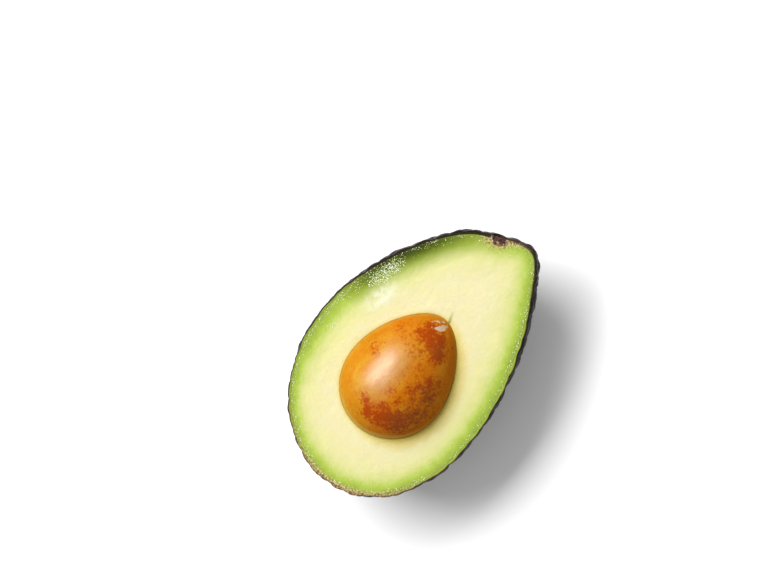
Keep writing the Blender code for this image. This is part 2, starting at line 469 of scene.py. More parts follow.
def make_relief_tree():
    """A relief along the stored way out: pebbles drawn out along the fruit, swells, fine wrinkles."""
    tree, given, result = new_tree(
        "grown_relief",
        "GeometryNodeTree",
        {
            "Geometry": "NodeSocketGeometry",
            "Pebble Size": 0.003,
            "Pebble Height": 0.0004,
            "Pebble Length": 1.4,
            "Crookedness": 0.0008,
            "Swell Size": 0.017,
            "Swell Height": 0.0004,
            "Wrinkle Size": 0.001,
            "Wrinkle Height": 0.00005,
            "Lowest": -1.0,
            "Seed": 1,
            "Material": "NodeSocketMaterial",
        },
        ("Geometry", "NodeSocketGeometry"),
    )
    here = put(tree, "GeometryNodeInputPosition").outputs[0]
    seed = put(tree, "ShaderNodeCombineXYZ", {0: given["Seed"], 1: given["Seed"]}).outputs[0]
    here = reckon_way(tree, "ADD", here, seed)

    def noise_of(size, detail, output=0):
        return pattern(tree, "ShaderNodeTexNoise", here, size, {"Detail": detail})[output]

    wobble = reckon_way(tree, "SUBTRACT", noise_of(given["Pebble Size"], 2.0, 1), (0.5, 0.5, 0.5))
    push = reckon_way(tree, "SCALE", wobble, given["Crookedness"])
    bent = reckon_way(tree, "ADD", here, push)
    squeeze = reckon(tree, "DIVIDE", 1.0, given["Pebble Length"])
    drawn_out = put(tree, "ShaderNodeCombineXYZ", {0: 1.0, 1: squeeze, 2: 1.0}).outputs[0]
    cells = pattern(
        tree,
        "ShaderNodeTexVoronoi",
        reckon_way(tree, "MULTIPLY", bent, drawn_out),
        given["Pebble Size"],
        {"Smoothness": 0.22},
        feature="SMOOTH_F1",
    )
    reach = reckon(tree, "DIVIDE", cells["Distance"], PEBBLE_REACH)
    dome = reckon(tree, "SUBTRACT", 1.0, reckon(tree, "POWER", reach, 2.0))
    dome = put(tree, "ShaderNodeClamp", {0: dome}).outputs[0]
    strength = reckon(tree, "ADD", noise_of(given["Swell Size"], 1.0), 0.5)
    pebbles = times(tree, swing(tree, dome, given["Pebble Height"]), strength)
    swell_height = times(tree, given["Swell Height"], 2.0)
    swells = swing(tree, noise_of(given["Swell Size"], 2.0), swell_height)
    wrinkle_height = times(tree, given["Wrinkle Height"], 2.0)
    wrinkles = swing(tree, noise_of(given["Wrinkle Size"], 2.0), wrinkle_height)
    height = reckon(tree, "ADD", reckon(tree, "ADD", pebbles, swells), wrinkles)
    outward = put(
        tree, "GeometryNodeInputNamedAttribute", {"Name": "outward"}, data_type="FLOAT_VECTOR"
    ).outputs[0]
    offset = reckon_way(tree, "SCALE", outward, height)
    raised = put(tree, "GeometryNodeSetPosition", {"Geometry": given["Geometry"], "Offset": offset})
    marked = put(
        tree,
        "GeometryNodeStoreNamedAttribute",
        {"Geometry": raised.outputs[0], "Name": "pebble", "Value": dome},
        data_type="FLOAT",
        domain="POINT",
    )
    now = put(tree, "GeometryNodeInputPosition").outputs[0]
    parts = put(tree, "ShaderNodeSeparateXYZ", {0: now}).outputs
    floor = reckon(tree, "MAXIMUM", parts[2], given["Lowest"])
    pressed_place = put(tree, "ShaderNodeCombineXYZ", {0: parts[0], 1: parts[1], 2: floor})
    pressed = put(
        tree,
        "GeometryNodeSetPosition",
        {"Geometry": marked.outputs[0], "Position": pressed_place.outputs[0]},
    )
    single = put(tree, "GeometryNodeRealizeInstances", {0: pressed.outputs[0]})
    finished = put(
        tree, "GeometryNodeSetMaterial", {"Geometry": single.outputs[0], "Material": given["Material"]}
    )
    tree.links.new(finished.outputs[0], result["Geometry"])
    return tree


grown_relief = make_relief_tree()


def grow_relief(made, material, seed, pebbles, swells, wrinkles, lowest=-1.0):
    """Raises pebbles of a size, height, length and crookedness, and swells and wrinkles of two."""
    labels = ("Pebble Size", "Pebble Height", "Pebble Length", "Crookedness")
    labels += ("Swell Size", "Swell Height", "Wrinkle Size", "Wrinkle Height")
    sizes = dict(zip(labels, (*pebbles, *swells, *wrinkles)))
    sizes.update({"Lowest": lowest, "Seed": seed, "Material": material})
    return shape_with(made, grown_relief, sizes)


def make_skin_material():
    """Nearly black purple-brown leather with reddish and olive patches, tan specks and a green edge."""
    material, tree, shader, place = new_material(
        "avocado_skin", Coat_Roughness=0.17, Specular_IOR_Level=0.07
    )
    top = attribute(tree, "pebble")
    depth = attribute(tree, "into_skin")
    base = blend(tree, top, SKIN_FURROW, SKIN_PEBBLE)
    base = lay_on(tree, base, patches_of(tree, place, 0.016, 0.48, 0.66), SKIN_RED)
    base = lay_on(tree, base, patches_of(tree, place, 0.034, 0.56, 0.72), SKIN_OLIVE, 0.75)
    base = lay_on(tree, base, patches_of(tree, place, 0.0035, 0.35, 0.75), SKIN_PURPLE, 0.35)
    base = lay_on(tree, base, specks_of(tree, place, 0.0021, 0.16, 0.30), SKIN_SPECK, 0.85)
    edge = ramp(tree, depth, SKIN_EDGE_COLOURS)
    tan = blend(tree, patches_of(tree, place, 0.0007, 0.42, 0.60), DRY_EDGE_BROWN, DRY_EDGE_TAN)
    edge = lay_on(tree, edge, attribute(tree, "dried"), tan, 0.9)
    colour = blend(tree, carry_over(tree, depth, 0.0, 0.10), base, edge)
    dull = patches_of(tree, place, 0.006, 0.35, 0.7)
    rough = carry_over(tree, dull, 0.0, 1.0, 0.30, 0.50)
    waxed = carry_over(tree, top, 0.55, 0.95, 0.0, 0.24)
    feed_named(tree, shader, Base_Color=colour, Roughness=rough, Coat_Weight=waxed)
    give_grain(tree, shader, place, (0.0014, 0.00055, 0.4), 0.45, 0.00012)
    return material


def bearings_of(places):
    """Degrees round the cut face, from its right side by the stalk end."""
    return np.degrees(np.arctan2(places[:, 1] - MIDDLE[1], places[:, 0] - MIDDLE[0]))


def near_bearing(places, bearing, reach, power=4):
    """1 at a bearing round the cut face, and less and less past its reach in degrees."""
    return np.exp(-(((bearings_of(places) - bearing) / reach) ** power))


def dried_share(places, from_skin=0.0):
    """Where the edge of the cut is dry and tan: round the blunt end, and to the right of the scar."""
    blunt_reach, scar_reach = DRY_REACHES
    blunt = near_bearing(places, *DRY_BLUNT_END, 2) * np.exp(-((from_skin / blunt_reach) ** 2))
    stalk = near_bearing(places, *DRY_BESIDE_SCAR, 2) * np.exp(-((from_skin / scar_reach) ** 2))
    return np.clip(blunt + stalk, 0.0, 1.0)


def dark_width(places):
    """How much wider the dark of the skin is round the stalk end and along the left than elsewhere,
    partly as painted shade.
    """
    return 1.0 + WIDE_DARK_SHARE * near_bearing(places, *WIDE_DARK_EDGE)


def make_skin():
    """The pebbled outside, its bare edge and its smooth lining, as one closed shell."""
    mesh = ball("avocado_skin", SKIN_FACES, lower_half_only=True)
    directions = places_of(mesh)
    set_places(mesh, fruit_outside(directions))
    outward = normals_of(mesh)
    depth = (MIDDLE[2] - places_of(mesh)[:, 2]) / BULGE_DEPTH
    by_stalk = near_bearing(places_of(mesh), *STALK_BULGE)
    bulge = SKIN_BULGE * (1.0 + by_stalk) * depth * np.exp(1.0 - depth)
    set_places(mesh, places_of(mesh) + outward * bulge[:, None])
    on_rim = np.nonzero(np.abs(directions[:, 2]) < IN_THE_CUT)[0]
    angles = np.arctan2(directions[on_rim, 1], directions[on_rim, 0])
    order = np.argsort(angles)
    rim, angles = on_rim[order], angles[order]
    smooth_rim, rim_outward = cut_outline(angles)
    outward[rim] = rim_outward
    write_on(mesh, "outward", outward)
    made = new_piece(mesh)
    grow_relief(
        made,
        make_skin_material(),
        seed=3,
        pebbles=(0.0033, 0.00066, 1.35, 0.0022),
        swells=(0.015, 0.00045),
        wrinkles=(0.0011, 0.00006),
        lowest=0.0,
    )
    thickness = SKIN_EDGE_DEPTHS[-1]
    places = open_scar_pit(places_of(made.data))
    set_places(made.data, places)
    outer, inner = places[rim], smooth_rim - rim_outward * thickness
    rings = []
    for depth, lift in zip(SKIN_EDGE_DEPTHS, SKIN_EDGE_LIFTS):
        ring = outer + (inner - outer) * (depth / thickness)
        ring[:, 2] = MIDDLE[2] + lift
        rings.append(open_scar_pit(ring))
    for dip in LINING_DIPS:
        outer = fruit_outside(round_the_cut(angles, dip)) - MIDDLE
        reach = np.linalg.norm(outer, axis=1)[:, None]
        rings.append(MIDDLE + outer * (1.0 - thickness / reach))
    down = np.array([[0.0, 0.0, -1.0]])
    foot = fruit_outside(down)[0] - down[0] * thickness
    depths = [depth * 1000 for depth in SKIN_EDGE_DEPTHS] + [1.0] * len(LINING_DIPS)
    shape = bmesh.new()
    shape.from_mesh(made.data)
    shape.verts.ensure_lookup_table()
    layer = shape.verts.layers.float.new("into_skin")
    dried_layer = shape.verts.layers.float.new("dried")
    rows = [[shape.verts[index] for index in rim]]
    for ring, depth in zip(rings, depths):
        row = [shape.verts.new(place) for place in ring]
        for corner, wider in zip(row, dark_width(smooth_rim)):
            corner[layer] = depth / wider
        rows.append(row)
    for row in rows:
        for corner, share in zip(row, dried_share(smooth_rim)):
            corner[dried_layer] = share
    sew(rows, shape)
    close_over(rows[-1], foot, shape)
    bmesh.ops.recalc_face_normals(shape, faces=shape.faces[:])
    shape.to_mesh(made.data)
    shape.free()
    made.data.shade_smooth()
    return made


def sew(rows, shape):
    """Joins rings of corners, each round the same way, with faces from one to the next."""
    for first, second in zip(rows, rows[1:]):
        for i in range(len(first)):
            j = (i + 1) % len(first)
            shape.faces.new((first[i], first[j], second[j], second[i]))


def close_over(row, place, shape):
    """Closes a ring of corners over one point."""
    tip = shape.verts.new(place)
    for i, corner in enumerate(row):
        shape.faces.new((corner, row[(i + 1) % len(row)], tip))


skin = make_skin()
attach(skin, "root")
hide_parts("skin")


# The flesh
# Soft and oily, cream inside and green under the skin. The knife left its face nearly flat, with
# torn wet cells along the skin, a few pale strands from the stalk, and the stone's hollow in it.

STONE_LENGTH = 0.0471
STONE_WIDTH = 0.0364
STONE_DEPTH = 0.0350
STONE_TAPER = (0.969, 0.198, 0.059)
STONE_TURN = math.radians(0.7)

FLESH_COLUMNS = 640
FACE_ROWS = 88
LIP_RADIUS = 0.00018
FLESH_COLOUR_DEPTH = 20.0
HOLLOW_CLEARANCE = 0.00003
WALL_DIPS = tuple(math.radians(angle) for angle in (85, 70, 55, 40, 25, 12, 4))
HOLLOW_DIPS = tuple(math.radians(angle) for angle in (-9, -4, 1, 6, 12, 20, 30, 42, 55, 70, 85))

STONE_MIDDLE = MIDDLE + np.array(STONE_SHIFT)
STONE_ROTATION = np.array(Matrix.Rotation(STONE_TURN, 3, "Z"))


def stone_outside(directions, grow=0.0):
    """Places on the stone's smooth outside, in the frame, with room to spare round it."""
    share = taper_at(directions[:, 1], STONE_TAPER)
    across = (STONE_WIDTH / 2 * share + grow) * directions[:, 0]
    along = (STONE_LENGTH / 2 + grow) * directions[:, 1]
    deep = (STONE_DEPTH / 2 * share + grow) * directions[:, 2]
    return STONE_MIDDLE + np.stack((across, along, deep), axis=1) @ STONE_ROTATION.T


def stone_at_cut(angles, grow=0.0):
    """The stone's outline where the plane of the cut crosses it, above its widest part."""
    height = MIDDLE[2] - STONE_MIDDLE[2]
    lift = np.zeros(len(angles))
    for _ in range(8):
        level = np.sqrt(1.0 - lift**2)
        directions = np.stack((np.cos(angles) * level, np.sin(angles) * level, lift), axis=1)
        lift = height / (STONE_DEPTH / 2 * taper_at(directions[:, 1], STONE_TAPER) + grow)
    outline = stone_outside(directions, grow)
    outline[:, 2] = MIDDLE[2]
    return outline


def distance_to(places, outline):
    """Distance in the cut's plane from each place to the nearest point of an outline."""
    tree = kdtree.KDTree(len(outline))
    for index, point in enumerate(outline):
        tree.insert((point[0], point[1], 0.0), index)
    tree.balance()
    return np.array([tree.find((place[0], place[1], 0.0))[2] for place in places])


def blob(places, centre, radius, stretch=1.0, turn=0.0):
    """A soft spot in the cut face, in millimetres from the fruit's middle, drawn out one way."""
    local = (places[:, :2] - MIDDLE[:2]) * 1000 - np.array(centre)
    cos, sin = math.cos(math.radians(turn)), math.sin(math.radians(turn))
    along = local[:, 0] * cos + local[:, 1] * sin
    across = -local[:, 0] * sin + local[:, 1] * cos
    return np.exp(-(((along / stretch) ** 2 + across**2) / radius**2))


def blobs(places, spots):
    """Soft spots added up, each with its strength before its place and size."""
    return sum(strength * blob(places, *spot) for strength, *spot in spots)


def strand(places, points, width):
    """A thin line through points in the cut face, from 1 to 0 as it fades towards its far end."""
    local = (places[:, :2] - MIDDLE[:2]) * 1000
    result = np.zeros(len(places))
    count = len(points) - 1
    for index, (start, end) in enumerate(zip(points, points[1:])):
        start, end = np.array(start), np.array(end)
        way = end - start
        share = np.clip(((local - start) @ way) / (way @ way), 0.0, 1.0)
        distance = np.linalg.norm(local - start - share[:, None] * way, axis=1)
        fade = 1.0 - (index + share) / count
        result = np.maximum(result, np.exp(-((distance / width) ** 2)) * fade)
    return result


# Lines and spots on the cut face, across and along in millimetres from the fruit's middle. A spot
# has a strength, a place and a radius, and may be drawn out and turned.
STRANDS = (
    ((-2.2, 44.0), (-1.8, 39.0), (-2.4, 33.0), (-4.4, 27.0)),
    ((0.4, 44.0), (2.4, 38.5), (3.2, 32.0)),
    ((-3.8, 43.0), (-7.2, 38.0), (-10.0, 32.0)),
)
STRAND_WIDTH = 1.0
TIP_MARK = ((2.5, 15.4), (1.9, 17.2), (1.3, 19.4))
TIP_MARK_WIDTH = 0.42

# The first spot widens the green at the upper left, partly as painted shade.
GREEN_WIDTHS = (
    (0.55, (-27.0, 14.0), 12.0, 1.7, 65.0),
    (0.25, (-31.0, -14.0), 11.0),
    (-0.34, (-20.0, -38.0), 14.0),
    (-0.14, (26.0, -28.0), 14.0),
)
# The deep green at the upper left is partly the flesh's own green and partly painted shade.
DEEP_GREEN_AND_SHADE_SIDE = (137.0, 36.0)
FROSTED = ((1.0, (-23.6, 15.4), 2.5, 2.7, 72.0), (0.8, (-26.7, -9.4), 0.9, 2.6, 66.0))
# A whitish patch below the frosted one, painted as sheen.
SHEEN_PATCH = ((1.5, (-19.8, 8.4), 2.6, 2.0, 75.0),)
DRY_BY_SCAR = ((1.6, (-1.9, 46.2), 3.3, 1.2, 20.0),)

FLESH_COLOURS = (
    (0.000, (0.232, 0.310, 0.044)),
    (0.040, (0.254, 0.340, 0.048)),
    (0.085, (0.294, 0.385, 0.052)),
    (0.130, (0.338, 0.435, 0.064)),
    (0.190, (0.418, 0.488, 0.122)),
    (0.280, (0.515, 0.528, 0.205)),
    (0.400, (0.578, 0.562, 0.272)),
    (0.550, (0.600, 0.566, 0.315)),
    (0.800, (0.618, 0.572, 0.348)),
)
STONE_TINT_AND_SHADE = (0.580, 0.435, 0.035)
CREAM_MOTTLE = (0.610, 0.575, 0.235)
PALE_FIBRE = (0.740, 0.700, 0.450)
STRAND_GREEN = (0.400, 0.430, 0.110)
MIDDLE_GREEN_AND_SHADE = (0.150, 0.200, 0.008)
DEEPEST_GREEN_AND_SHADE = (0.022, 0.034, 0.001)
YELLOW_SPECK = (0.300, 0.350, 0.020)
MARK_GREEN = (0.150, 0.160, 0.020)
DRY_FLESH_BROWN = (0.160, 0.090, 0.024)
DRY_FLESH_TAN = (0.560, 0.440, 0.200)
PAINTED_SHEEN_WHITE = (0.640, 0.650, 0.520)
FROST_GLINT_GREEN = (0.640, 0.690, 0.460)


def make_flesh_material():
    """Cream flesh, yellow-green and then deep green towards the skin, wet and a little clear."""
    material, tree, shader, place = new_material("avocado_flesh", Specular_IOR_Level=0.15)
    from_skin = attribute(tree, "from_skin")
    wobble = swing(tree, patches_of(tree, place, 0.0045, 0.2, 0.8, fineness=5.0), 1.5)
    grain = swing(tree, patches_of(tree, place, 0.0007, 0.2, 0.8), 0.9)
    depth = reckon(tree, "ADD", from_skin, reckon(tree, "ADD", wobble, grain))
    depth = reckon(tree, "DIVIDE", depth, attribute(tree, "green_width"))
    colour = ramp(tree, reckon(tree, "DIVIDE", depth, FLESH_COLOUR_DEPTH), FLESH_COLOURS)
    # Yellow round the stone: partly the flesh's own tint, partly painted shade on the stone's shadow
    # side.
    colour = lay_on(tree, colour, attribute(tree, "by_stone"), STONE_TINT_AND_SHADE)
    inner = carry_over(tree, from_skin, 3.5, 9.0)
    mottle = times(tree, patches_of(tree, place, 0.006, 0.35, 0.65), inner)
    colour = lay_on(tree, colour, mottle, CREAM_MOTTLE, 0.25)
    drawn_out = put(tree, "ShaderNodeMapping", {"Vector": place, "Scale": (1.0, 0.25, 1.0)})
    fibre = times(tree, patches_of(tree, drawn_out.outputs[0], 0.0012, 0.52, 0.75), inner)
    colour = lay_on(tree, colour, fibre, PALE_FIBRE, 0.16)
    colour = lay_on(tree, colour, attribute(tree, "strands"), STRAND_GREEN, 0.30)
    # Deep and deepest green at the upper left: partly the flesh's own green, partly painted shade laid
    # over it.
    deep = attribute(tree, "deep_green_and_shade")
    green_and_shade = reckon(tree, "MAXIMUM", reckon(tree, "SUBTRACT", deep, 0.02), 0.0)
    colour = lay_on(tree, colour, reckon(tree, "POWER", green_and_shade, 0.6), MIDDLE_GREEN_AND_SHADE, 0.9)
    uneven = reckon(tree, "ADD", times(tree, grain, 0.3), 1.0)
    deepest_and_shade = times(tree, reckon(tree, "POWER", green_and_shade, 2.0), uneven)
    colour = lay_on(tree, colour, deepest_and_shade, DEEPEST_GREEN_AND_SHADE)
    yellow = times(tree, specks_of(tree, place, 0.0008, 0.40, 0.35), times(tree, deep, 0.75))
    colour = lay_on(tree, colour, yellow, YELLOW_SPECK)
    colour = lay_on(tree, colour, attribute(tree, "tip_mark"), MARK_GREEN)
    granules = patches_of(tree, place, 0.0007, 0.42, 0.58)
    tan = blend(tree, granules, DRY_FLESH_BROWN, DRY_FLESH_TAN)
    colour = lay_on(tree, colour, attribute(tree, "dried"), tan)
    # Painted sheen: a ragged whitish patch below the frosted one.
    ragged_sheen = patches_of(tree, place, 0.0022, 0.36, 0.58, fineness=5.0)
    ragged_sheen = reckon(tree, "ADD", times(tree, ragged_sheen, 0.55), 0.20)
    colour = lay_on(tree, colour, times(tree, attribute(tree, "sheen"), ragged_sheen), PAINTED_SHEEN_WHITE)
    wet = attribute(tree, "wet")
    # Painted glints: pale specks laid on the frosted patch.
    glint = times(tree, specks_of(tree, place, 0.0007, 0.42, 0.60), 0.40)
    colour = lay_on(tree, colour, times(tree, wet, glint), FROST_GLINT_GREEN)
    feed_named(
        tree,
        shader,
        Base_Color=colour,
        Roughness=carry_over(tree, wet, 0.0, 1.0, 0.40, 0.22),
        Subsurface_Weight=carry_over(tree, deep, 0.0, 1.0, 0.42, 0.0),
        Subsurface_Radius=(1.0, 0.80, 0.30),
        Subsurface_Scale=0.0022,
    )
    near_skin = carry_over(tree, from_skin, 1.0, 6.0, 1.0, 0.25)
    give_grain(tree, shader, place, (0.0022, 0.00045, 0.8), 0.5, 0.00016, kept=near_skin)
    return material


def make_flesh():
    """The cut face between the skin and the hollow, the hollow, and the back under the skin."""
    angles = np.linspace(-math.pi, math.pi, FLESH_COLUMNS, endpoint=False)
    outline, outward = cut_outline(angles)
    rim = outline - outward * SKIN_EDGE_DEPTHS[-1]
    hollow = stone_at_cut(angles, HOLLOW_CLEARANCE)
    rings = []
    for dip in WALL_DIPS:
        outer = fruit_outside(round_the_cut(angles, dip)) - MIDDLE
        reach = np.linalg.norm(outer, axis=1)[:, None]
        rings.append(MIDDLE + outer * (1.0 - SKIN_EDGE_DEPTHS[-1] / reach))
    rings.append(rim)
    for row in range(1, FACE_ROWS):
        share = row / FACE_ROWS
        rings.append(rim + (hollow - rim) * share)
    rings.append(hollow)
    face_start, face_end = len(WALL_DIPS), len(rings)
    for dip in HOLLOW_DIPS:
        rings.append(stone_outside(round_the_cut(angles, dip), HOLLOW_CLEARANCE))
    down = np.array([[0.0, 0.0, -1.0]])
    back = fruit_outside(down)[0] - down[0] * SKIN_EDGE_DEPTHS[-1]
    bottom = stone_outside(down, HOLLOW_CLEARANCE)[0]
    shape = bmesh.new()
    rows = [[shape.verts.new(place) for place in ring] for ring in rings]
    sew(rows, shape)
    close_over(rows[0], back, shape)
    close_over(rows[-1], bottom, shape)
    bmesh.ops.recalc_face_normals(shape, faces=shape.faces[:])
    mesh = mesh_of(shape, "avocado_flesh")
    places = places_of(mesh)
    on_face = np.zeros(len(places))
    on_face[face_start * FLESH_COLUMNS : face_end * FLESH_COLUMNS] = 1.0
    from_skin = distance_to(places, rim) * 1000
    from_stone = distance_to(places, hollow) * 1000 * on_face
    lip = np.clip(LIP_RADIUS - from_stone / 1000, 0.0, None) * on_face
    drop = LIP_RADIUS - np.sqrt(np.maximum(0.0, LIP_RADIUS**2 - lip**2))
    places[:, 2] -= drop * on_face
    set_places(mesh, open_scar_pit(places))
    write_on(mesh, "from_skin", from_skin)
    # Yellower flesh round the stone, reaching further on its shadow side as painted shade.
    sideways = (places[:, 0] - STONE_MIDDLE[0]) / STONE_WIDTH * 2
    shaded = np.clip((sideways + 0.1) / 0.9, 0.0, 1.0)
    tint_and_shade = np.clip(1.0 - from_stone / (1.4 + 3.4 * shaded), 0.0, 1.0)
    write_on(mesh, "by_stone", tint_and_shade * (0.60 + 0.35 * shaded) * on_face)
    up = np.zeros((len(places), 3))
    up[:, 2] = on_face * np.clip(from_stone / 2.0, 0.0, 1.0) * np.clip(from_skin / 1.5, 0.0, 1.0)
    write_on(mesh, "outward", up)
    write_on(mesh, "green_width", 1.0 + blobs(places, GREEN_WIDTHS))
    scar_edge = np.clip(blobs(places, DRY_BY_SCAR), 0.0, 0.85)
    dried = dried_share(places, from_skin)
    write_on(mesh, "dried", np.maximum(dried, scar_edge * np.exp(-((from_skin / 3.0) ** 2))))
    # Where the green is deepened at the upper left, partly as painted shade.
    green_side = near_bearing(places, *DEEP_GREEN_AND_SHADE_SIDE)
    write_on(mesh, "deep_green_and_shade", green_side * np.exp(-((from_skin / 5.0) ** 2.3)) * on_face)
    write_on(mesh, "wet", np.clip((blobs(places, FROSTED) - 0.25) * 2.6, 0.0, 1.0))
    write_on(mesh, "sheen", np.clip(blobs(places, SHEEN_PATCH), 0.0, 1.0))
    lines = np.max([strand(places, points, STRAND_WIDTH) for points in STRANDS], axis=0)
    write_on(mesh, "strands", lines)
    write_on(mesh, "tip_mark", strand(places, TIP_MARK, TIP_MARK_WIDTH))
    return grow_relief(
        new_piece(mesh),
        make_flesh_material(),
        seed=5,
        pebbles=(0.0011, 0.00005, 1.0, 0.0005),
        swells=(0.014, 0.00022),
        wrinkles=(0.0035, 0.00005),
    )


flesh = make_flesh()
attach(flesh, "root")
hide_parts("flesh")


# The torn cells
# Grains of wet flesh that the knife dragged up along the skin. They stick to the cut face where it
# is greenest, and on the frosted patch at its upper left.

GRAIN_DENSITY = 3.0e6
GRAIN_RADIUS = 0.00014
GRAIN_CLUSTER_SIZE = 0.0035
GRAINS_AT_LEFT = ((0.34, (-27.2, 3.0), 3.2, 2.6, 68.0),)
MOST_GRAINS = 3.2
CELL_GREEN = (0.600, 0.720, 0.300)
CELL_WHITE_AND_GLINT = (0.900, 0.910, 0.740)


def make_grain_tree():
    """Scatters small round grains on the faces of a piece, as thick as its stored share says."""
    tree, given, result = new_tree(
        "scattered_grains",
        "GeometryNodeTree",
        {
            "Geometry": "NodeSocketGeometry",
            "Density": 1.0e6,
            "Grain Radius": 0.0001,
            "Cluster Size": 0.004,
            "Seed": 1,
            "Material": "NodeSocketMaterial",
        },
        ("Geometry", "NodeSocketGeometry"),
    )
    share = put(
        tree, "GeometryNodeInputNamedAttribute", {"Name": "torn"}, data_type="FLOAT"
    ).outputs[0]
    place = put(tree, "GeometryNodeInputPosition").outputs[0]
    size = given["Cluster Size"]
    noise = pattern(tree, "ShaderNodeTexNoise", place, size, {"Detail": 2.0})[0]
    cluster = carry_over(tree, noise, 0.40, 0.66)
    thick = carry_over(tree, share, 0.35, 0.60)
    share = times(tree, share, reckon(tree, "MAXIMUM", cluster, thick))
    points = put(
        tree,
        "GeometryNodeDistributePointsOnFaces",
        {
            "Mesh": given["Geometry"],
            "Density": times(tree, share, given["Density"]),
            "Seed": given["Seed"],
        },
    )
    grain = put(
        tree, "GeometryNodeMeshIcoSphere", {"Radius": given["Grain Radius"], "Subdivisions": 2}
    )

    def drawn_between(least, most):
        limits = {"Min": least, "Max": most, "Seed": given["Seed"]}
        return put(tree, "FunctionNodeRandomValue", limits, data_type="FLOAT_VECTOR").outputs[0]

    size = drawn_between((0.35, 0.35, 0.25), (1.6, 1.0, 0.8))
    turn = drawn_between((0.0, 0.0, 0.0), (0.4, 0.4, 6.28))
    placed = put(
        tree,
        "GeometryNodeInstanceOnPoints",
        {"Points": points.outputs[0], "Instance": grain.outputs[0], "Rotation": turn, "Scale": size},
    )
    single = put(tree, "GeometryNodeRealizeInstances", {0: placed.outputs[0]})
    smooth = put(tree, "GeometryNodeSetShadeSmooth", {0: single.outputs[0]})
    finished = put(
        tree, "GeometryNodeSetMaterial", {"Geometry": smooth.outputs[0], "Material": given["Material"]}
    )
    tree.links.new(finished.outputs[0], result["Geometry"])
    return tree


def make_grain_material():
    """Wet pale-green cells that catch the light, their near-white partly a painted glint."""
    material, tree, shader, place = new_material(
        "torn_cells", Roughness=0.12, Coat_Weight=0.5, Coat_Roughness=0.08
    )
    tint = patches_of(tree, place, 0.002, 0.35, 0.65)
    feed_named(tree, shader, Base_Color=blend(tree, tint, CELL_GREEN, CELL_WHITE_AND_GLINT))
    return material


def make_grains():
    """Grains along the skin, thickest where the cut is frosted, on a copy of the flesh's face."""
    mesh = flesh.data.copy()
    mesh.name = "avocado_torn_cells"
    mesh.materials.clear()
    places, from_skin = places_of(mesh), read_from(mesh, "from_skin")
    on_face = (places[:, 2] > MIDDLE[2] - 0.0006).astype(float)
    band = 0.62 * np.exp(-(((from_skin - 0.5) / 1.1) ** 2))
    shares = band + blobs(places, GRAINS_AT_LEFT) + MOST_GRAINS * read_from(mesh, "wet")
    write_on(mesh, "torn", np.clip(shares, 0.0, MOST_GRAINS) * on_face)
    sizes = {
        "Density": GRAIN_DENSITY,
        "Grain Radius": GRAIN_RADIUS,
        "Cluster Size": GRAIN_CLUSTER_SIZE,
        "Seed": 7,
        "Material": make_grain_material(),
    }
    return shape_with(new_piece(mesh), make_grain_tree(), sizes)


grains = make_grains()
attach(grains, "root")


# The stone
# One large seed in a smooth waxed brown coat with darker blotches. It lies loose in the hollow,
# a little over half sunk, with its pointed end to the stalk, where a little of the coat has come off.

STONE_FACES = 88

# Marks across and along in millimetres from the stone's middle: a blotch's place, radius and share
BLOTCHES = (
    ((-1.2, 17.4), 3.7, 1.00),
    ((3.0, 15.4), 3.7, 0.85),
    ((-4.8, 14.4), 2.6, 0.45),
    ((5.6, 12.4), 2.9, 0.80),
    ((8.6, 5.2), 3.6, 0.44),
    ((10.6, 0.6), 4.6, 0.52),
    ((6.6, 0.2), 3.4, 0.34),
    ((12.0, -7.6), 5.4, 0.62),
    ((3.4, -13.6), 4.6, 1.00),
    ((-1.8, -14.8), 3.0, 0.80),
    ((-5.0, -12.0), 2.4, 0.40),
    ((9.0, -13.6), 4.4, 0.65),
    ((-12.4, 2.8), 3.4, 0.46),
    ((-1.0, 9.6), 2.8, 0.50),
    ((-8.0, 11.4), 3.2, 0.46),
    ((3.6, 7.0), 2.4, 0.42),
    ((2.4, -4.6), 3.4, 0.42),
)
PURPLE_SPOTS = (((12.0, -6.6), 6.2), ((9.6, -12.6), 5.0), ((5.4, 14.0), 3.2), ((10.4, 1.0), 4.0))
FLAKE = ((-1.6, 18.3), (0.6, 20.6), (2.4, 21.5), (1.8, 18.7))
FLAKE_EDGE = ((-2.5, 19.8), (0.6, 21.8))
FLAKE_EDGE_HALF_WIDTH = 0.14
FLAKE_DEPTH = 0.00012
WAXED_CENTRE = (-4.4, -2.0)
WAXED_REACH = (5.4, 9.5)
DAMP_AND_REFLECTION_BEARING = (-80.0, 42.0)
ORANGE_SHOULDER = ((-9.5, 14.0), 7.5)

COAT_GOLD = (0.440, 0.214, 0.014)
COAT_ORANGE = (0.415, 0.160, 0.004)
COAT_DEEP_ORANGE = (0.450, 0.122, 0.0005)
COAT_PALE = (0.480, 0.235, 0.014)
COAT_VEIN = (0.400, 0.110, 0.002)
BLOTCH_RED = (0.300, 0.036, 0.0003)
BLOTCH_PURPLE = (0.250, 0.046, 0.006)
COAT_SPECK = (0.220, 0.034, 0.001)
DAMP_GOLD_AND_REFLECTION = (0.520, 0.340, 0.070)
BARE_SEED = (0.500, 0.345, 0.225)


